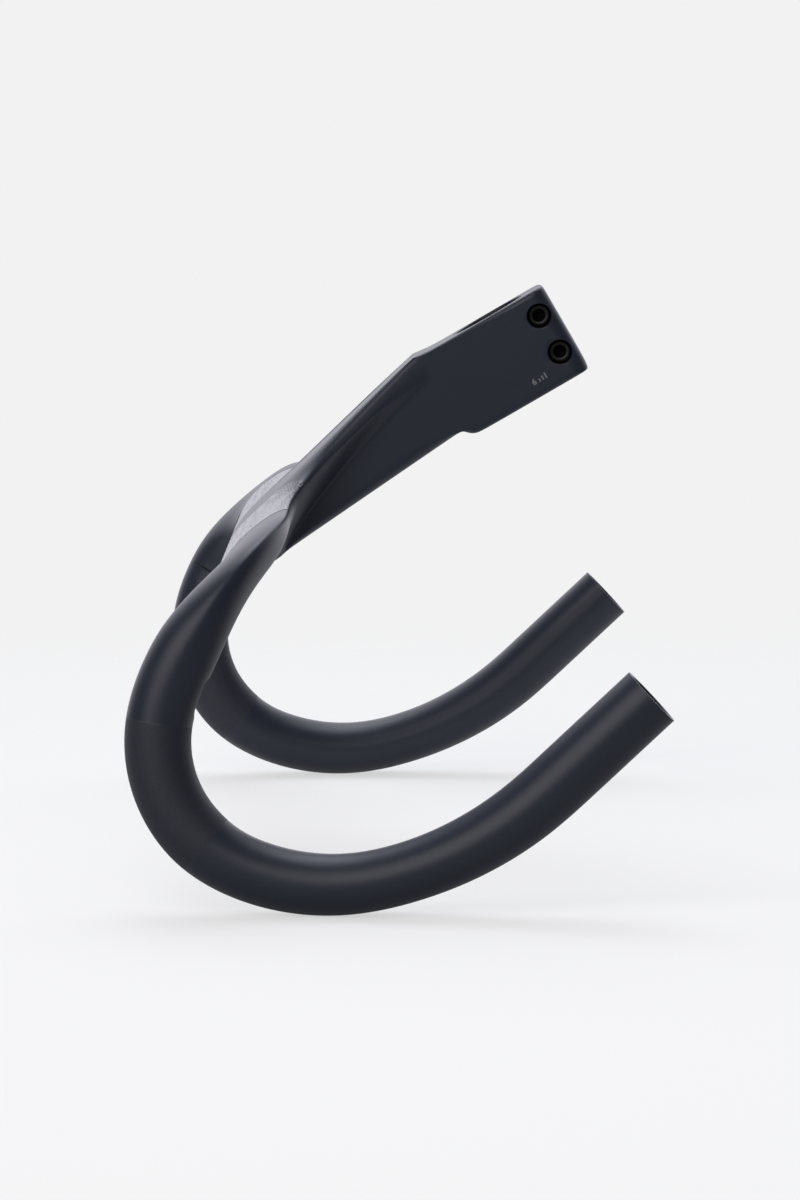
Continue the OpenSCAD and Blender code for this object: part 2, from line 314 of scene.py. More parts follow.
def tube_wide(dist):
    return max(tube_half(dist), mix(WING_HALF, HOOD_D / 2, ease(dist / SWELL_LEN)))


# Points in a quarter of each ring, and the rings in the web, the corner and the drop of one side
QUARTER = 12
WEB_STEPS = 9
CORNER_STEPS = 8
DROP_STEPS = 27
# The web starts a hair outside the side face of the stem
WEB_GAP = 0.3
# How sharply the lip of web and tops keeps its edge, and where that starts and ends off the stem
LIP_CREASE = 0.36
LIP_START = 9
LIP_END = 190
RING = 4 * QUARTER
# A smoothed ring draws in a little from its points, and this makes up for it
RING_SWELL = 3 / (2 + cosd(360 / RING))


def section(rear, front, up, low, square, hollow=2.0, rise=0.0):
    """Offsets (rearward, up) of one ring. The upper rear quarter is as square as that power makes it,
    the lower rear quarter as hollow, and the rear edge is raised by rise."""
    points = []
    for k in range(RING):
        angle = k * 90 / QUARTER
        c, s = cosd(angle), sind(angle)
        tip = rise if k < QUARTER or k > 3 * QUARTER else 0
        power = 2 / (square if k < QUARTER else hollow if k > 3 * QUARTER else 2)
        x = math.copysign(abs(c) ** power, c) * (rear if c >= 0 else front)
        y = tip + math.copysign(abs(s) ** power, s) * (up - tip if s >= 0 else low + tip)
        points.append((x * RING_SWELL, y * RING_SWELL))
    return np.array(points)


def place(ring, at, wide, head, plan, lean=0.0):
    """Puts a section at a side-plane point and half width, turned by a plan angle in the corner."""
    up = np.array([0, -sind(head), cosd(head)])
    run = np.array([cosd(plan) + lean, -sind(plan) * cosd(head), -sind(plan) * sind(head)])
    out = np.cross(up, run) / np.linalg.norm(run)
    return np.array([wide, at[0], at[1]]) + ring[:, :1] * out + ring[:, 1:] * up


def web_fade(x):
    return math.exp(-(x - STEM_HALF) / WEB_FADE)


def wing_ring(x):
    """The wing between web and corner, and the web beside the stem."""
    fade = web_fade(x)
    ring = section(WING_HALF + WEB_REACH * fade, WING_HALF, THICK_HALF, mix(THICK_HALF, NOSE_DEPTH, fade),
                   mix(REAR_EDGE, WEB_EDGE, fade), mix(REAR_EDGE, WEB_HOLLOW, math.sqrt(fade)), WEB_RISE)
    # Close to the stem the underside of the web slopes down into the side face
    skirt = WEB_SKIRT * math.exp(-(x - STEM_HALF - WEB_GAP) / SKIRT_FADE)
    share = np.clip(ring[3 * QUARTER + 1:, 0] / ring[0, 0], 0, 1) ** 0.7
    ring[3 * QUARTER + 1:, 1] -= skirt * share
    return place(ring, WING_MID, x, WING_TILT, 0)


def rear_edge(dist):
    """How pointed the rear edge is, above and below, and how high it stands, along the side."""
    gone = ease(dist / REAR_EDGE_LEN)
    square = mix(REAR_EDGE, 2, gone)
    return square, square, mix(WEB_RISE, 0, gone)


def lean_at(head):
    """How much the bar moves outward on its way, where it heads that way down the drop."""
    return LEAN * np.dot([cosd(head), sind(head)], WING_UP)


def corner_ring(plan):
    dist = CORNER_R * (1 - cosd(plan))
    at, head = along(dist)
    wide, half = tube_wide(dist), tube_half(dist)
    ring = section(wide, wide, half, half, *rear_edge(dist))
    return place(ring, at, TOPS_HALF + CORNER_R * sind(plan), head, plan)


def side_ring(dist):
    at, head = along(dist)
    wide, half = tube_wide(dist), tube_half(dist)
    ring = section(wide, wide, half, half, *rear_edge(dist))
    return place(ring, at, half_width(dist), head, 90, lean_at(head))


def round_in(x, radius):
    """How far an edge of that radius is drawn in at a distance x from the middle plane."""
    over = max(0, x - (STEM_HALF - radius))
    return radius - math.sqrt(max(0, radius ** 2 - over ** 2))


def stem_ring(x):
    """Side outline of the stem at a distance x from the middle plane."""
    drawn, tip, near = round_in(x, EDGE_ROUND), CORNER_BLUNT, CORNER_HOLD
    y, top, bottom = REAR_REACH - round_in(x, REAR_ROUND), -drawn, drawn - CLAMP_H
    under_drawn = round_in(x, UNDER_ROUND)
    foot = STEP_FOOT + [0, under_drawn]
    ramp, ridge = np.array([RIDGE_RUN - TOP_FLAT, top]), np.array([-TOP_FLAT, RIDGE_RISE])
    boss = np.array([-BOSS_REACH, bottom])
    rear_top = [(y, (top + bottom) / 2), (y, top - near), (y, top - tip), (y - tip, top), (y - near, top)]
    rear_top += [(ramp[0] + 3, top), mix(ramp, ridge, 0.15), mix(ramp, ridge, 0.88), ridge]
    rear_top += [mix(ridge, CREST, t) for t in (0.018, 0.25, 0.5)]
    nose = section(WING_HALF, WING_HALF, THICK_HALF, NOSE_DEPTH, 2)[QUARTER:3 * QUARTER]
    front = [WING_MID + rearward * WING_BACK + up * WING_UP for rearward, up in nose]
    under = [mix(KEEL, STEP_FOOT, t) + [0, under_drawn * t ** 0.3] for t in (0, 0.1, 0.45, 0.93)]
    under += [foot, mix(foot, boss, 0.3), mix(foot, boss, 0.72), boss + BOSS_HEEL, boss + [BOSS_FLAT, 0]]
    under += [(y - near, bottom), (y - tip, bottom), (y, bottom + tip)]
    return np.array([(x, *point) for point in rear_top + front + under])


def left_rings():
    """Rings of the left half with their distance along the bar, from the middle to the open end."""
    rings = [(stem_ring(x), x) for x in (6, STEM_HALF - REAR_ROUND, 14.6, 16.6, 17.7, 18.5, 18.9, STEM_HALF)]
    face, root = stem_ring(STEM_HALF), wing_ring(STEM_HALF + WEB_GAP)
    rings += [(mix(face, root, t), STEM_HALF + WEB_GAP * t) for t in (0.06, 0.35, 0.7, 0.94)]
    web_end = STEM_HALF + WEB_GAP + 3.6 * WEB_FADE
    web = [mix(STEM_HALF + WEB_GAP, web_end, (k / WEB_STEPS) ** 1.8) for k in range(WEB_STEPS + 1)]
    web += [mix(web_end, TOPS_HALF, t) for t in (0.2, 0.5, 0.8)]
    rings += [(wing_ring(x), x) for x in web]
    for k in range(CORNER_STEPS + 1):
        plan = 90 * k / CORNER_STEPS
        rings.append((corner_ring(plan), TOPS_HALF + CORNER_R * (1 - cosd(plan))))
    for k in range(1, DROP_STEPS + 1):
        dist = mix(CORNER_R, PATH_LEN, k / DROP_STEPS)
        rings.append((side_ring(dist), TOPS_HALF + dist))
    return rings


def select_none():
    if bpy.context.object and bpy.context.object.mode != "OBJECT":
        bpy.ops.object.mode_set(mode="OBJECT")
    bpy.ops.object.select_all(action="DESELECT")


def take(name):
    """The object that was just added, named, alone selected and active."""
    obj = bpy.context.object
    obj.name = obj.data.name = name
    return obj


def pick(obj):
    select_none()
    obj.select_set(True)
    bpy.context.view_layer.objects.active = obj


def apply_modifiers(obj):
    pick(obj)
    for modifier in list(obj.modifiers):
        bpy.ops.object.modifier_apply(modifier=modifier.name)


def to_frame(points_mm):
    """Points counted from the top of the clamp in millimetres, as points of the frame in metres."""
    return (np.asarray(points_mm, float) + [0, 0, CLAMP_H]) * MM


def moulded_bar():
    """One sheet of a grid, wrapped ring by ring round the whole bar and closed."""
    left = left_rings()
    right = [(ring * [-1, 1, 1], -dist) for ring, dist in reversed(left)]
    rings = right + left
    select_none()
    bpy.ops.mesh.primitive_grid_add(x_subdivisions=RING, y_subdivisions=len(rings) - 1, size=1)
    bar = take("handlebar_shell")
    points = np.array([np.vstack([ring, ring[:1]]) for ring, _ in rings])
    bar.data.vertices.foreach_set("co", to_frame(points.reshape(-1, 3)).astype(np.float32).ravel())
    flow = bar.data.uv_layers[0]
    flow.name = "flow"
    # The map runs round the bar in x and along it in y, in metres from the middle plane
    for loop in bar.data.loops:
        row, column = divmod(loop.vertex_index, RING + 1)
        flow.data[loop.index].uv = (column / RING * math.pi * HOOD_D * MM, rings[row][1] * MM)
    bpy.ops.object.mode_set(mode="EDIT")
    bpy.ops.mesh.select_all(action="SELECT")
    bpy.ops.mesh.remove_doubles(threshold=1e-6)
    bpy.ops.mesh.select_all(action="DESELECT")
    bpy.ops.mesh.select_mode(type="EDGE")
    bpy.ops.mesh.select_non_manifold()
    bpy.ops.mesh.edge_face_add()
    bpy.ops.mesh.select_non_manifold()
    bpy.ops.mesh.fill_holes(sides=0)
    bpy.ops.mesh.select_all(action="SELECT")
    bpy.ops.mesh.normals_make_consistent(inside=False)
    bpy.ops.object.mode_set(mode="OBJECT")
    # The two mouths stay sharp and the web keeps its lower lip, while the rest is smoothed
    crease = bar.data.attributes.new("crease_edge", "FLOAT", "EDGE")
    edge_at = {key: index for index, key in enumerate(bar.data.edge_keys)}
    for polygon in bar.data.polygons:
        if polygon.loop_total > 4:
            for key in polygon.edge_keys:
                crease.data[edge_at[key]].value = 1.0
    lip = {}
    for ring, dist in rings:
        out = abs(dist) - STEM_HALF
        if WEB_GAP <= out < LIP_END:
            sharp = LIP_CREASE * ease(out / LIP_START) * (1 - ease(out / LIP_END))
            lip[tuple(np.round(to_frame(ring[0]), 6))] = sharp
    lip_of = {vertex.index: lip.get(tuple(np.round(vertex.co, 6))) for vertex in bar.data.vertices}
    for (a, b), index in edge_at.items():
        if lip_of[a] and lip_of[b] and bar.data.vertices[a].co.x * bar.data.vertices[b].co.x > 0:
            crease.data[index].value = (lip_of[a] + lip_of[b]) / 2
    smooth = bar.modifiers.new("smooth", "SUBSURF")
    smooth.levels = smooth.render_levels = SMOOTH_LEVELS
    apply_modifiers(bar)
    return bar


def turned(name, steps, sides=96):
    """A solid turned about Z from (radius, height) steps in millimetres, drawn out ring by ring."""
    select_none()
    radius, height = steps[0]
    bpy.ops.mesh.primitive_circle_add(vertices=sides, radius=radius * MM, location=(0, 0, height * MM))
    solid = take(name)
    bpy.ops.object.transform_apply(location=True)
    bpy.ops.object.mode_set(mode="EDIT")
    bpy.ops.mesh.select_mode(type="EDGE")
    bpy.ops.mesh.select_all(action="SELECT")
    for next_radius, next_height in steps[1:]:
        bpy.ops.mesh.extrude_region_move(
            TRANSFORM_OT_translate={"value": (0, 0, (next_height - height) * MM)})
        scale = next_radius / radius
        bpy.ops.transform.resize(value=(scale, scale, 1), center_override=(0, 0, next_height * MM))
        radius, height = next_radius, next_height
    bpy.ops.mesh.select_all(action="DESELECT")
    bpy.ops.mesh.select_non_manifold()
    bpy.ops.mesh.fill_holes(sides=0)
    bpy.ops.mesh.select_all(action="SELECT")
    bpy.ops.mesh.normals_make_consistent(inside=False)
    bpy.ops.object.mode_set(mode="OBJECT")
    # What the rounded rims leave is painted with the bar, and straight walls and floors are bare
    for polygon in solid.data.polygons:
        polygon.material_index = 0 if 0.05 < abs(polygon.normal.z) < 0.97 else 1
    return solid


def rim_steps(radius, height, inward):
    """Steps of a rounded rim at that height, where inward is the way down into the hole."""
    return [(radius + RIM * (1 - cosd(t)), height + inward * RIM * (1 - sind(t))) for t in (0, 30, 60, 90)]


def slot_cutter(name, width, length, depth, over=3):
    """A slot with round ends along Y, cut downward from z = 0, in millimetres."""
    select_none()
    bpy.ops.mesh.primitive_cylinder_add(vertices=48, radius=width / 2 * MM, depth=(depth + over) * MM,
                                        location=(0, 0, (over - depth) / 2 * MM))
    cutter = take(name)
    bpy.ops.object.transform_apply(location=True)
    half = (length - width) / 2 * MM
    for vertex in cutter.data.vertices:
        vertex.co.y += math.copysign(half, vertex.co.y) if abs(vertex.co.y) > 1e-7 else 0
    all_bare(cutter)
    return cutter


def all_bare(cutter):
    """Leaves every wall that a cutter makes unpainted."""
    for polygon in cutter.data.polygons:
        polygon.material_index = 1


def set_down(obj, matrix):
    """Puts a finished mesh at its place in the frame, with its object left at the origin."""
    obj.data.transform(matrix)
    obj.data.update()


def axis_matrix(origin, z_axis):
    """Placing that turns +Z onto an axis."""
    turn = Vector((0, 0, 1)).rotation_difference(Vector(z_axis)).to_matrix().to_4x4()
    return Matrix.Translation(Vector(origin)) @ turn


def bolt_axis(node):
    """Point of a bolt's axis in the middle plane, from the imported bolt."""
    low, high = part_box(node)
    return Vector((0, (low.y + high.y) / 2, (low.z + high.z) / 2))


def bar_cutters():
    """Everything that is machined or left open in the moulded bar, apart from the slit."""
    cutters = []
    seat = CLAMP_H - RECESS_DEPTH
    steerer = [(STEERER_R + RIM, -OVERCUT / 2)] + rim_steps(STEERER_R, 0, 1)[::-1]
    steerer += [(STEERER_R, seat), (RECESS_R, seat)] + rim_steps(RECESS_R, CLAMP_H, -1)
    steerer.append((RECESS_R + RIM, CLAMP_H + OVERCUT))
    cutters.append(turned("steerer_cutter", steerer))
    insert_end = INSERT_SEAT + INSERT_LEN
    for node in BOLTS:
        pocket = [(FLANGE_HOLE_R + RIM, -STEM_HALF - OVERCUT)] + rim_steps(FLANGE_HOLE_R, -STEM_HALF, 1)[::-1]
        pocket += [(FLANGE_HOLE_R, INSERT_SEAT), (INSERT_HOLE_R, INSERT_SEAT), (INSERT_HOLE_R, insert_end)]
        pocket += [(SHANK_HOLE_R, insert_end), (SHANK_HOLE_R, HEAD_SEAT), (HEAD_POCKET_R, HEAD_SEAT)]
        pocket += rim_steps(HEAD_POCKET_R, STEM_HALF + POCKET_PROUD, -1)
        pocket.append((HEAD_POCKET_R + RIM, STEM_HALF + OVERCUT))
        cutter = turned("pocket_cutter", pocket, sides=64)
        set_down(cutter, axis_matrix(bolt_axis(node), (1, 0, 0)))
        cutters.append(cutter)
    at, head = along(PATH_LEN)
    slope = lean_at(head)
    mouth = [(END_BORE_D / 2, -END_BORE_DEPTH)] + rim_steps(END_BORE_D / 2, 0, -1)
    mouth.append((END_BORE_D / 2 + RIM, OVERCUT))
    port_at, port_head = along(RAMP_PORT_DIST)
    port_at = port_at - tube_half(RAMP_PORT_DIST) * np.array([-sind(port_head), cosd(port_head)])
    for side in (-1, 1):
        cutter = turned("mouth_cutter", mouth)
        origin = to_frame((side * half_width(PATH_LEN), *at))
        set_down(cutter, axis_matrix(origin, (side * slope, -cosd(head), -sind(head))))
        cutters.append(cutter)
        cutter = slot_cutter("ramp_port_cutter", *RAMP_PORT)
        turn = Matrix.Rotation(math.radians(port_head + 180), 4, "X")
        set_down(cutter, Matrix.Translation(to_frame((side * half_width(RAMP_PORT_DIST), *port_at))) @ turn)
        cutters.append(cutter)
    run = KEEL - STEP_FOOT
    level = STEP_FOOT + run * ((-STEM_PORT_REACH - STEP_FOOT[0]) / run[0])
    cutter = slot_cutter("stem_port_cutter", *STEM_PORT)
    turn = Matrix.Rotation(math.atan2(run[1], run[0]), 4, "X")
    set_down(cutter, Matrix.Translation(to_frame((0, *level))) @ turn)
    cutters.append(cutter)
    return cutters


def slit_cutter():
    """The slit that runs back from the steerer bore, through the rear of the clamp."""
    select_none()
    bpy.ops.mesh.primitive_cube_add(size=1)
    cutter = take("slit_cutter")
    all_bare(cutter)
    middle = Matrix.Translation((0, SLIT_RUN / 2 * MM, CLAMP_H / 2 * MM))
    set_down(cutter, middle @ Matrix.Diagonal((SLIT_W * MM, SLIT_RUN * MM, SLIT_TALL * MM, 1)))
    return cutter


def cut(bar, cutters, paints):
    """Takes the cutters out of the bar in one step. Their faces bring the paint or the bare wall."""
    for cutter in cutters:
        kept = [polygon.material_index for polygon in cutter.data.polygons]
        cutter.data.materials.clear()
        for paint in paints:
            cutter.data.materials.append(paint)
        for polygon, index in zip(cutter.data.polygons, kept):
            polygon.material_index = index
    pick(cutters[0])
    for cutter in cutters:
        cutter.select_set(True)
    if len(cutters) > 1:
        bpy.ops.object.join()
    tool = bpy.context.object
    carve = bar.modifiers.new("carve", "BOOLEAN")
    carve.operation = "DIFFERENCE"
    carve.solver = "EXACT"
    carve.object = tool
    apply_modifiers(bar)
    bpy.data.objects.remove(tool)


def clear_slivers(piece):
    """Splits the many-sided faces that the cuts leave into triangles, and takes out slivers."""
    pick(piece)
    bpy.ops.object.mode_set(mode="EDIT")
    bpy.ops.mesh.select_mode(type="FACE")
    bpy.ops.mesh.select_all(action="SELECT")
    bpy.ops.mesh.remove_doubles(threshold=SLIVER)
    bpy.ops.mesh.dissolve_degenerate(threshold=SLIVER)
    bpy.ops.mesh.select_all(action="DESELECT")
    bpy.ops.mesh.select_face_by_sides(number=4, type="GREATER")
    bpy.ops.mesh.quads_convert_to_tris(ngon_method="BEAUTY")
    bpy.ops.mesh.select_all(action="SELECT")
    bpy.ops.mesh.dissolve_degenerate(threshold=SLIVER)
    bpy.ops.object.mode_set(mode="OBJECT")


def wrapped(name, rows, closed=False, sides=72):
    """A turned piece wrapped from a grid. Each row is (radius, height), and a radius may be a rule."""
    select_none()
    bpy.ops.mesh.primitive_grid_add(x_subdivisions=sides, y_subdivisions=len(rows) - 1, size=1)
    piece = take(name)
    points = []
    for radius, height in rows:
        for k in range(sides + 1):
            turn = 360 * (k % sides) / sides
            r = radius(turn) if callable(radius) else radius
            points.append((r * cosd(turn) * MM, r * sind(turn) * MM, height * MM))
    piece.data.vertices.foreach_set("co", np.array(points, np.float32).ravel())
    bpy.ops.object.mode_set(mode="EDIT")
    bpy.ops.mesh.select_all(action="SELECT")
    bpy.ops.mesh.remove_doubles(threshold=1e-6)
    if not closed:
        bpy.ops.mesh.select_all(action="DESELECT")
        bpy.ops.mesh.select_mode(type="EDGE")
        bpy.ops.mesh.select_non_manifold()
        bpy.ops.mesh.fill_holes(sides=0)
    bpy.ops.mesh.select_all(action="SELECT")
    bpy.ops.mesh.normals_make_consistent(inside=False)
    bpy.ops.object.mode_set(mode="OBJECT")
    return piece


def hexagon(across):
    """Radius of a hexagon with that width across its flats, by the angle."""
    return lambda turn: across / 2 / cosd((turn + 30) % 60 - 30)


def ribbed(radius, depth, count):
    """Radius of a straight knurl."""
    return lambda turn: radius - depth * (0.5 + 0.5 * cosd(turn * count))


def thread_radius(crest, depth, height):
    """Radius of a thread at that height, by the angle."""
    def radius(turn):
        phase = (height / THREAD_PITCH - turn / 360) % 1
        return crest + depth * (1 - abs(2 * phase - 1)) ** 0.8
    return radius


def thread_rows(crest, depth, low, high, inner=False):
    """Rows of a metric thread from low to high, which runs out at both ends."""
    count = round((high - low) / THREAD_PITCH * THREAD_STEPS)
    rows = []
    for k in range(count + 1):
        height = mix(low, high, k / count)
        full = depth * ease((height - low) / THREAD_PITCH) * ease((high - height) / THREAD_PITCH)
        rows.append((thread_radius(crest, full if inner else -full, height), height))
    return rows


def screw_piece(name, node):
    """Socket head cap screw: threaded shank, knurled head, rounded rim and hexagonal socket."""
    tip, head_r, head_h, socket = -BOLT_LEN, HEAD_D / 2, HEAD_H, hexagon(SOCKET_W)
    knurl = ribbed(head_r, HEAD_KNURL, HEAD_RIBS)
    round_at, socket_end = head_h - HEAD_ROUND, head_h - SOCKET_DEPTH
    rows = [(0.4, tip), (1.9, tip), (2.42, tip + 0.5)]
    rows += thread_rows(BOLT_D / 2, THREAD_DEPTH, tip + 0.6, tip + THREAD_LEN)
    rows += [(BOLT_D / 2, tip + THREAD_LEN + 0.4), (BOLT_D / 2, -0.02), (BOLT_D / 2 + 0.02, 0),
             (head_r - 0.35, 0), (head_r - 0.1, 0.15), (knurl, 0.4), (knurl, head_h - 0.95),
             (head_r - 0.05, head_h - 0.75)]
    rows += [(head_r - 0.05 - HEAD_ROUND * (1 - cosd(t)), round_at + HEAD_ROUND * sind(t))
             for t in (0, 22, 45, 68, 90)]
    rows += [(SOCKET_MOUTH + 0.1, head_h), (SOCKET_MOUTH, head_h - 0.05),
             (hexagon(SOCKET_W + 0.4), head_h - 0.3), (socket, head_h - 0.55),
             (socket, socket_end + 0.1), (hexagon(SOCKET_W - 0.2), socket_end),
             (1.6, socket_end - 0.1), (0.3, socket_end - 0.75)]
    screw = wrapped(name, rows)
    # Faces down in the socket get the near-black steel, painted shade of the deep socket
    for polygon in screw.data.polygons:
        inside = math.hypot(polygon.center.x, polygon.center.y) < SOCKET_MOUTH * MM
        polygon.material_index = 1 if inside and polygon.center.z > (head_h - 4) * MM else 0
    set_down(screw, axis_matrix(bolt_axis(node) + Vector((HEAD_SEAT * MM, 0, 0)), (1, 0, 0)))
    return screw


def insert_piece(name, node):
    """Flanged sleeve with a thread through it and a knurled outside."""
    seat, foot = 0, INSERT_LEN
    inner = BOLT_D / 2 + THREAD_GAP
    rows = [(inner + 0.35, -FLANGE_T + 0.02), (inner + 0.05, -FLANGE_T + 0.35)]
    rows += thread_rows(inner, INSERT_THREAD_DEPTH, -FLANGE_T + 0.4, foot - 0.3, inner=True)
    outer = INSERT_D / 2
    knurl = ribbed(outer, INSERT_KNURL, INSERT_RIBS)
    rows += [(inner + 0.3, foot), (outer - 0.4, foot), (outer - 0.05, foot - 0.35),
             (knurl, foot - 0.6), (knurl, 1.4), (outer - 0.12, 1.1),
             (outer - 0.12, seat), (FLANGE_D / 2 - 0.1, seat), (FLANGE_D / 2, seat - 0.1),
             (FLANGE_D / 2, -FLANGE_T + 0.3), (FLANGE_D / 2 - 0.12, -FLANGE_T + 0.08),
             (FLANGE_D / 2 - 0.35, -FLANGE_T), (inner + 0.55, -FLANGE_T)]
    rows.append(rows[0])
    sleeve = wrapped(name, rows, closed=True)
    set_down(sleeve, axis_matrix(bolt_axis(node) + Vector((INSERT_SEAT * MM, 0, 0)), (1, 0, 0)))
    return sleeve


def torque_mark(bar):
    """A plain numeral with three plain ticks, printed on the side face beside the clamp bolts."""
    select_none()
    bpy.ops.object.text_add()
    mark = take("clamp_numeral")
    mark.data.body = "6"
    mark.data.size = MARK_SIZE * MM
    mark.data.extrude = MARK_THICK / 2 * MM
    mark.data.offset = MARK_BOLD * MM
    mark.data.resolution_u = 6
    pick(mark)
    bpy.ops.object.convert(target="MESH")
    pieces = [mark]
    for k in range(3):
        tall = TICK_TALL + TICK_GROWTH * k
        select_none()
        bpy.ops.mesh.primitive_cube_add(size=1, scale=(TICK_W * MM, tall * MM, MARK_THICK * MM),
                                        location=((TICK_FIRST + TICK_PITCH * k) * MM, tall / 2 * MM, 0))
        tick = take("clamp_tick")
        bpy.ops.object.transform_apply(location=True, rotation=True, scale=True)
        pieces.append(tick)
    pick(mark)
    for tick in pieces[1:]:
        tick.select_set(True)
    bpy.ops.object.join()
    bpy.ops.object.mode_set(mode="EDIT")
    bpy.ops.mesh.select_all(action="SELECT")
    bpy.ops.mesh.remove_doubles(threshold=1e-7)
    bpy.ops.mesh.normals_make_consistent(inside=False)
    bpy.ops.object.mode_set(mode="OBJECT")
    corner = to_frame((0, MARK_AT[0], MARK_AT[1]))
    # The ink lies on the side face, wherever that stands at each of its points
    for vertex in mark.data.vertices:
        across, upright, thick = vertex.co
        start = Vector((RAY_FROM, corner[1] + across, corner[2] + upright))
        at = bar.ray_cast(start, Vector((-1, 0, 0)))[1]
        vertex.co = Vector((at.x + thick + MARK_THICK * 0.4 * MM, start.y, start.z))
    return mark


def feed(tree, socket, value):
    """Gives a socket a constant, or wires another output to it."""
    if isinstance(value, bpy.types.NodeSocket):
        tree.links.new(value, socket)
    else:
        socket.default_value = value


def maths(tree, operation, *values):
    node = tree.nodes.new("ShaderNodeMath")
    node.operation = operation
    for socket, value in zip(node.inputs, values):
        feed(tree, socket, value)
    return node.outputs[0]


def plus(tree, first, second):
    return maths(tree, "ADD", first, second)


def times(tree, *values):
    """Product of two or more values."""
    product = values[0]
    for value in values[1:]:
        product = maths(tree, "MULTIPLY", product, value)
    return product


def without(tree, value):
    """What is left of 1 without that value."""
    return maths(tree, "SUBTRACT", 1.0, value)


def smooth_step(tree, value, low, high):
    """0 below low and 1 above high, with a soft change between."""
    node = tree.nodes.new("ShaderNodeMapRange")
    node.interpolation_type = "SMOOTHSTEP"
    node.inputs["From Min"].default_value = low
    node.inputs["From Max"].default_value = high
    feed(tree, node.inputs["Value"], value)
    return node.outputs["Result"]


def blend_colour(tree, share, first, second):
    node = tree.nodes.new("ShaderNodeMix")
    node.data_type = "RGBA"
    feed(tree, node.inputs["Factor"], share)
    feed(tree, node.inputs["A"], first)
    feed(tree, node.inputs["B"], second)
    return node.outputs["Result"]


def noise(tree, vector, cell, detail=2.0):
    """Noise between 0 and 1 with cells of that size in metres."""
    node = tree.nodes.new("ShaderNodeTexNoise")
    node.inputs["Scale"].default_value = 1 / cell
    node.inputs["Detail"].default_value = detail
    feed(tree, node.inputs["Vector"], vector)
    return node.outputs["Fac"]


def bump(tree, height, distance, under=None):
    node = tree.nodes.new("ShaderNodeBump")
    node.inputs["Strength"].default_value = 1
    node.inputs["Distance"].default_value = distance
    feed(tree, node.inputs["Height"], height)
    if under is not None:
        feed(tree, node.inputs["Normal"], under)
    return node.outputs["Normal"]


def uneven_group():
    """Slow unevenness and fine specks of a surface, each between 0 and 1, with cells in metres."""
    group = bpy.data.node_groups.new("uneven_surface", "ShaderNodeTree")
    group.interface.new_socket("Vector", in_out="INPUT", socket_type="NodeSocketVector")
    for name, cell in (("Slow Cell", 0.02), ("Fine Cell", 0.0004)):
        group.interface.new_socket(name, in_out="INPUT", socket_type="NodeSocketFloat").default_value = cell
    for name in ("Slow", "Fine"):
        group.interface.new_socket(name, in_out="OUTPUT", socket_type="NodeSocketFloat")
    source, drain = group.nodes.new("NodeGroupInput"), group.nodes.new("NodeGroupOutput")
    for name, cell, detail in (("Slow", "Slow Cell", 3.0), ("Fine", "Fine Cell", 1.0)):
        fac = noise(group, source.outputs["Vector"], 1, detail)
        scale = maths(group, "DIVIDE", 1.0, source.outputs[cell])
        group.links.new(scale, fac.node.inputs["Scale"])
        group.links.new(fac, drain.inputs[name])
    return group


def unevenness(tree, group, vector, slow, fine):
    node = tree.nodes.new("ShaderNodeGroup")
    node.node_tree = group
    feed(tree, node.inputs["Vector"], vector)
    node.inputs["Slow Cell"].default_value = slow
    node.inputs["Fine Cell"].default_value = fine
    return node.outputs["Slow"], node.outputs["Fine"]


def finish(name):
    """A new material with its tree, its shader and the piece's own coordinates."""
    material = bpy.data.materials.new(name)
    material.use_nodes = True
    tree = material.node_tree
    coords = tree.nodes.new("ShaderNodeTexCoord")
    return material, tree, tree.nodes["Principled BSDF"], coords.outputs["Object"]


def split(tree, vector):
    node = tree.nodes.new("ShaderNodeSeparateXYZ")
    feed(tree, node.inputs[0], vector)
    return node.outputs


def band(tree, value, low, high, soft):
    """1 between low and high, and 0 outside, with soft borders."""
    return times(tree, smooth_step(tree, value, low - soft, low + soft),
                 without(tree, smooth_step(tree, value, high - soft, high + soft)))


def hairline(tree, value, at, half):
    """1 on a line where the value is at, and 0 further off than half."""
    off = maths(tree, "ABSOLUTE", maths(tree, "SUBTRACT", value, at))
    return without(tree, smooth_step(tree, off, half * 0.3, half))


def grained_part(tree, here, dist, round_of):
    """Where the tops are grained, and the dark lines along its borders, each between 0 and 1."""
    place_of = split(tree, here)
    side, rearward = maths(tree, "ABSOLUTE", place_of[0]), place_of[1]
    outer = plus(tree, side, times(tree, rearward, GRIP_SLANT))
    behind = plus(tree, rearward, STEM_REACH * MM)
    inner = maths(tree, "SUBTRACT", side, times(tree, behind, GRIP_INNER_SLANT))
    on_tops = without(tree, smooth_step(tree, dist, GRIP_LAST - GRIP_BORDER, GRIP_LAST))
    inside = without(tree, smooth_step(tree, outer, GRIP_EDGE - GRIP_BORDER, GRIP_EDGE))
    off_web = smooth_step(tree, inner, GRIP_INNER, GRIP_INNER + 2 * GRIP_BORDER)
    # The grain lies on the upper side, from the rear edge over to the front
    upper = band(tree, round_of, GRIP_LOW, GRIP_ROUND, GRIP_BORDER)
    border = times(tree, hairline(tree, outer, GRIP_EDGE, GRIP_LINE_HALF), on_tops,
                   smooth_step(tree, side, *BORDER_FROM))
    seam = times(tree, hairline(tree, dist, GRIP_LAST, SEAM_HALF),
                 without(tree, smooth_step(tree, side, *SEAM_TO)))
    return times(tree, inside, off_web, on_tops, upper), maths(tree, "MAXIMUM", border, seam)


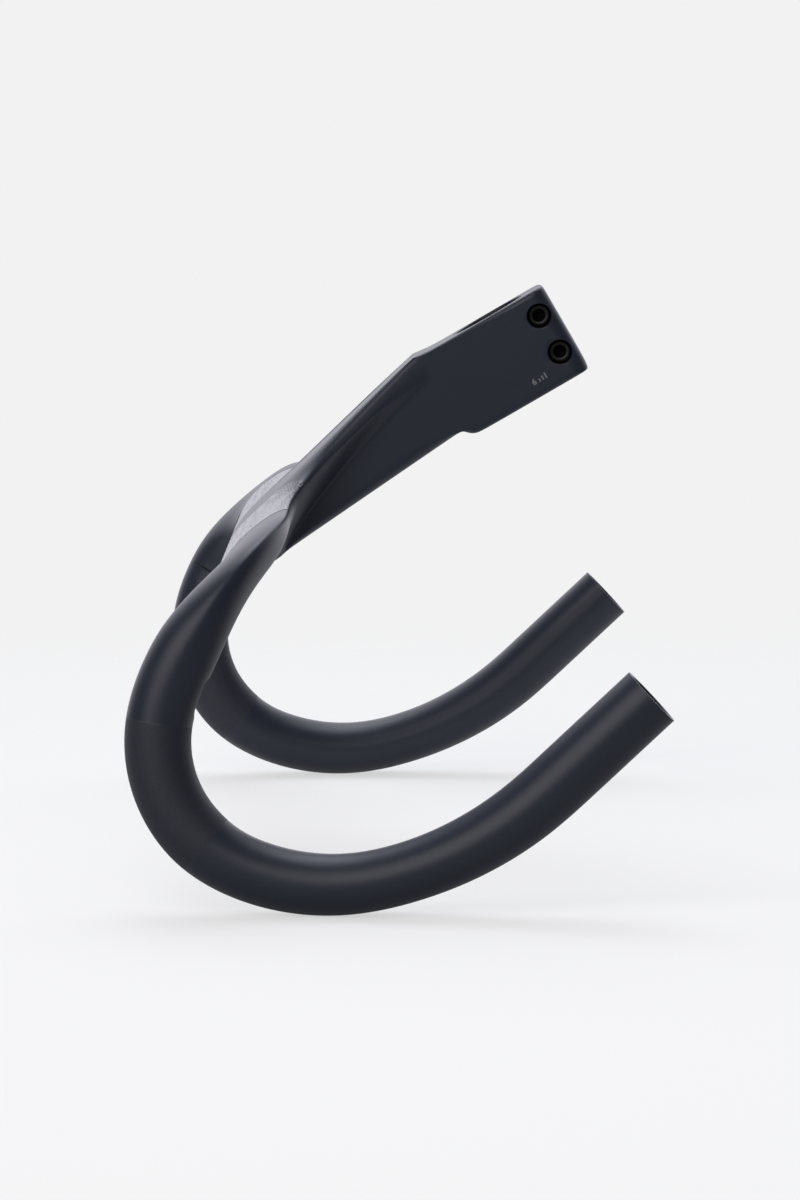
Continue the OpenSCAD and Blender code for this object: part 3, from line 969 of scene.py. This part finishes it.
def satin_paint(group):
    """Blue-black satin paint, with a fine grain on the tops whose pale dots are partly painted sheen, and a
    rougher ring where a lever clamps.
    """
    paint, tree, shader, here = finish("satin_blue_black_paint")
    slow, fine = unevenness(tree, group, here, 0.03, 0.0009)
    flow = tree.nodes.new("ShaderNodeUVMap")
    flow.uv_map = "flow"
    round_of, along_of = split(tree, flow.outputs["UV"])[:2]
    dist = maths(tree, "ABSOLUTE", along_of)
    start, end = (TOPS_HALF + ZONE_START) * MM, (TOPS_HALF + ZONE_END) * MM
    lever = band(tree, dist, start, end, LEVER_BORDER)
    lever_line = plus(tree, hairline(tree, dist, start, LEVER_LINE_HALF),
                      hairline(tree, dist, end, LEVER_LINE_HALF))
    grip, grip_line = grained_part(tree, here, dist, round_of)
    # The grain is a field of round dots, about a millimetre apart, painted pale lavender: a real grain, with
    # the sheen of the grazing tops painted into its colour
    dots = tree.nodes.new("ShaderNodeTexVoronoi")
    dots.inputs["Scale"].default_value = 1 / GRAIN_CELL
    dots.inputs["Randomness"].default_value = 0.55
    feed(tree, dots.inputs["Vector"], here)
    dot = without(tree, smooth_step(tree, dots.outputs["Distance"], 0.15, 0.55))
    speck = noise(tree, here, 0.00035, 1.0)
    speckled = times(tree, lever, smooth_step(tree, speck, 0.4, 0.75))
    colour = blend_colour(tree, slow, PAINT_DEEP, PAINT_PALE)
    for share, tone in ((speckled, LEVER_SPECK), (times(tree, grip, dot), GRAIN_DOT_AND_SHEEN),
                        (times(tree, lever_line, 0.5), LEVER_LINE), (times(tree, grip_line, 0.9), GRIP_LINE)):
        colour = blend_colour(tree, share, colour, tone)
    feed(tree, shader.inputs["Base Color"], colour)
    rough = plus(tree, PAINT_ROUGH, times(tree, maths(tree, "SUBTRACT", fine, 0.5), 0.06))
    for share, change in ((lever, 0.13), (grip, -0.15), (grip_line, 0.45)):
        rough = plus(tree, rough, times(tree, share, change))
    feed(tree, shader.inputs["Roughness"], rough)
    relief = plus(tree, times(tree, grip, dot), times(tree, lever, speck, 0.35))
    relief = plus(tree, relief, times(tree, grip_line, -1.5))
    feed(tree, shader.inputs["Normal"], bump(tree, relief, GRAIN_DEPTH, bump(tree, fine, 0.000006)))
    return paint


def bare_carbon(group):
    """Moulded carbon inside the bores and cuts, with its weave just showing."""
    bare, tree, shader, here = finish("bare_carbon_wall")
    slow, fine = unevenness(tree, group, here, 0.004, 0.0003)
    weave = tree.nodes.new("ShaderNodeTexChecker")
    weave.inputs["Scale"].default_value = 1 / WEAVE_CELL
    weave.inputs["Color1"].default_value = (0, 0, 0, 1)
    weave.inputs["Color2"].default_value = (1, 1, 1, 1)
    feed(tree, weave.inputs["Vector"], here)
    tow = times(tree, weave.outputs["Fac"], plus(tree, 0.4, slow))
    feed(tree, shader.inputs["Base Color"], blend_colour(tree, tow, CARBON, CARBON_TOW))
    feed(tree, shader.inputs["Roughness"], plus(tree, 0.42, times(tree, fine, 0.3)))
    feed(tree, shader.inputs["Normal"], bump(tree, plus(tree, fine, tow), 0.00002))
    return bare


def black_steel(group):
    """Blackened steel with a little bare metal where tools rub."""
    steel, tree, shader, here = finish("black_bolt_steel")
    slow, fine = unevenness(tree, group, here, 0.002, 0.00015)
    rubbed = times(tree, smooth_step(tree, slow, 0.56, 0.8), 0.5)
    feed(tree, shader.inputs["Base Color"], blend_colour(tree, rubbed, STEEL, STEEL_RUBBED))
    feed(tree, shader.inputs["Roughness"], plus(tree, 0.26, times(tree, fine, 0.18)))
    feed(tree, shader.inputs["Normal"], bump(tree, fine, 0.000008))
    return steel


def turned_alloy(group):
    """Bare aluminium with the fine rings that a lathe leaves round each insert's axis."""
    alloy, tree, shader, here = finish("turned_alloy")
    slow, fine = unevenness(tree, group, here, 0.003, 0.0002)
    away = []
    for node in INSERTS:
        gap = tree.nodes.new("ShaderNodeVectorMath")
        gap.operation = "DISTANCE"
        flat = tree.nodes.new("ShaderNodeCombineXYZ")
        place_of = split(tree, here)
        feed(tree, flat.inputs["Y"], place_of[1])
        feed(tree, flat.inputs["Z"], place_of[2])
        feed(tree, gap.inputs[0], flat.outputs[0])
        gap.inputs[1].default_value = bolt_axis(node)
        away.append(gap.outputs["Value"])
    rings = maths(tree, "SINE", times(tree, maths(tree, "MINIMUM", *away), 2 * math.pi / LATHE_RING))
    feed(tree, shader.inputs["Base Color"], blend_colour(tree, slow, ALLOY, ALLOY_PALE))
    shader.inputs["Metallic"].default_value = 1
    feed(tree, shader.inputs["Roughness"], plus(tree, 0.22, times(tree, fine, 0.2)))
    feed(tree, shader.inputs["Normal"], bump(tree, rings, 0.000002))
    return alloy


def socket_painted_shade(group):
    """The same steel down in the socket, painted near black and dull as painted shade of the deep, unlit
    socket.
    """
    socket_shade, tree, shader, here = finish("socket_painted_shade_steel")
    slow, fine = unevenness(tree, group, here, 0.001, 0.00012)
    feed(tree, shader.inputs["Base Color"], blend_colour(tree, slow, SOCKET_SHADE_DARK, SOCKET_SHADE_PALE))
    shader.inputs["Specular IOR Level"].default_value = 0.12
    feed(tree, shader.inputs["Roughness"], plus(tree, 0.6, times(tree, fine, 0.2)))
    return socket_shade


def mark_ink(group):
    """Pale grey printing ink, a little uneven as it lies on the paint."""
    ink, tree, shader, here = finish("pale_print")
    slow, fine = unevenness(tree, group, here, 0.0006, 0.00012)
    feed(tree, shader.inputs["Base Color"], blend_colour(tree, slow, INK, INK_PALE))
    feed(tree, shader.inputs["Roughness"], plus(tree, 0.4, times(tree, fine, 0.2)))
    return ink


def camera():
    lens = bpy.data.cameras.new("camera")
    lens.lens = CAMERA_LENS
    lens.sensor_width = 36
    lens.clip_end = 20
    eye = bpy.data.objects.new("camera", lens)
    bpy.context.scene.collection.objects.link(eye)
    back = CAMERA_RIGHT.cross(CAMERA_UP)
    turn = Matrix((CAMERA_RIGHT, CAMERA_UP, back)).transposed().to_4x4()
    eye.matrix_world = Matrix.Translation(CAMERA_AT) @ turn
    bpy.context.scene.camera = eye


def softbox(name, right, up, forward, distance, size, watts, tint):
    """A soft light seen from the bar in that direction of the photograph."""
    toward = (CAMERA_RIGHT * right + FLOOR_UP * up + TO_CAMERA * forward).normalized()
    lamp = bpy.data.lights.new(name, "AREA")
    lamp.shape = "RECTANGLE"
    lamp.size, lamp.size_y = size
    lamp.energy = watts
    lamp.color = tint
    box = bpy.data.objects.new(name, lamp)
    bpy.context.scene.collection.objects.link(box)
    box.location = STAGE_MIDDLE + toward * distance
    box.rotation_mode = "QUATERNION"
    box.rotation_quaternion = toward.to_track_quat("Z", "Y")


def lights():
    softbox("key_box", -0.4, 0.47, 0.8, 2.8, (3.2, 2.4), 42, (1, 0.97, 0.97))
    softbox("top_box", 0, 1, -0.35, 2.6, (2.4, 1.3), 24, (0.84, 0.9, 1))


def studio():
    """Plain pale surroundings. What the bar reflects is bright behind and above, and dim in front."""
    world = bpy.data.worlds.new("studio")
    bpy.context.scene.world = world
    world.use_nodes = True
    tree = world.node_tree
    tree.nodes.clear()
    new = tree.nodes.new
    out, switch = new("ShaderNodeOutputWorld"), new("ShaderNodeMixShader")
    seen, felt = new("ShaderNodeBackground"), new("ShaderNodeBackground")
    path, coords = new("ShaderNodeLightPath"), new("ShaderNodeTexCoord")
    facing, ramp = new("ShaderNodeVectorMath"), new("ShaderNodeMapRange")
    seen.inputs["Color"].default_value = BACKDROP
    facing.operation = "DOT_PRODUCT"
    facing.inputs[1].default_value = (FLOOR_UP * FELT_TILT - TO_CAMERA).normalized()
    ramp.interpolation_type = "SMOOTHSTEP"
    ramp.inputs["From Min"].default_value = FELT_FROM
    ramp.inputs["From Max"].default_value = FELT_TO
    ramp.inputs["To Min"].default_value = FELT_DIM
    ramp.inputs["To Max"].default_value = FELT_BRIGHT
    felt.inputs["Color"].default_value = FELT_TINT
    link = tree.links.new
    link(coords.outputs["Generated"], facing.inputs[0])
    link(facing.outputs["Value"], ramp.inputs["Value"])
    link(ramp.outputs["Result"], felt.inputs["Strength"])
    link(path.outputs["Is Camera Ray"], switch.inputs[0])
    link(felt.outputs[0], switch.inputs[1])
    link(seen.outputs[0], switch.inputs[2])
    link(switch.outputs[0], out.inputs["Surface"])
    bpy.context.scene.view_settings.view_transform = "Standard"


def floor():
    """The pale ground that the drops stand on, which fades into the surroundings."""
    select_none()
    bpy.ops.mesh.primitive_circle_add(vertices=96, radius=FLOOR_RADIUS, fill_type="NGON")
    ground = take("floor")
    turn = FLOOR_UP.to_track_quat("Z", "Y").to_matrix().to_4x4()
    set_down(ground, Matrix.Translation(FLOOR_UP * FLOOR_LEVEL) @ turn)
    pale = bpy.data.materials.new("pale_floor")
    pale.use_nodes = True
    tree = pale.node_tree
    tree.nodes.clear()
    new = tree.nodes.new
    out, clear = new("ShaderNodeOutputMaterial"), new("ShaderNodeBsdfTransparent")
    cover, paint = new("ShaderNodeMixShader"), new("ShaderNodeAddShader")
    matt, glow = new("ShaderNodeBsdfDiffuse"), new("ShaderNodeEmission")
    path, side, coords = new("ShaderNodeLightPath"), new("ShaderNodeNewGeometry"), new("ShaderNodeTexCoord")
    reach = new("ShaderNodeVectorMath")
    reach.operation = "DISTANCE"
    reach.inputs[1].default_value = FLOOR_UP * FLOOR_LEVEL
    link = tree.links.new
    link(coords.outputs["Object"], reach.inputs[0])
    # What the bar mirrors of the ground is bright behind it and dim in front of it
    ahead = smooth_step(tree, split(tree, coords.outputs["Object"])[0], *FLOOR_AHEAD)
    mirrored = maths(tree, "SUBTRACT", FLOOR_MIRROR, times(tree, ahead, FLOOR_MIRROR_DIM))
    seen = path.outputs["Is Camera Ray"]
    felt = times(tree, without(tree, seen), mirrored)
    link(plus(tree, times(tree, seen, FLOOR_GLOW), felt), glow.inputs["Strength"])
    dimmed = times(tree, without(tree, seen), ahead)
    matt_colour = maths(tree, "SUBTRACT", FLOOR_MATT, times(tree, dimmed, FLOOR_MATT * FLOOR_MATT_DIM))
    link(matt_colour, matt.inputs["Color"])
    link(matt.outputs[0], paint.inputs[0])
    link(glow.outputs[0], paint.inputs[1])
    edge = smooth_step(tree, reach.outputs["Value"], *FLOOR_FADE)
    link(maths(tree, "MAXIMUM", edge, side.outputs["Backfacing"]), cover.inputs[0])
    link(paint.outputs[0], cover.inputs[1])
    link(clear.outputs[0], cover.inputs[2])
    link(cover.outputs[0], out.inputs["Surface"])
    ground.data.materials.append(pale)


camera()
studio()
lights()
floor()

uneven = uneven_group()
paint, bare = satin_paint(uneven), bare_carbon(uneven)
bar = moulded_bar()
bar.data.materials.append(paint)
bar.data.materials.append(bare)
cut(bar, bar_cutters(), (paint, bare))
cut(bar, [slit_cutter()], (paint, bare))
clear_slivers(bar)
pick(bar)
bpy.ops.object.shade_smooth_by_angle(angle=math.radians(BAR_SHARP))
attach(bar, "root")
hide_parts("handlebar")

screw_steels = (black_steel(uneven), socket_painted_shade(uneven))
insert_metals = (turned_alloy(uneven),)
for nodes, make, metals, slot in ((BOLTS, screw_piece, screw_steels, "black_bolt"),
                                  (INSERTS, insert_piece, insert_metals, "insert_alloy")):
    for node in nodes:
        piece = make(node + "_threaded", node)
        for metal in metals:
            piece.data.materials.append(metal)
        pick(piece)
        bpy.ops.object.shade_smooth_by_angle(angle=math.radians(SCREW_SHARP))
        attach(piece, "root")
        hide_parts(node)

mark = torque_mark(bar)
mark.data.materials.clear()
mark.data.materials.append(mark_ink(uneven))
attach(mark, "root")

select_none()
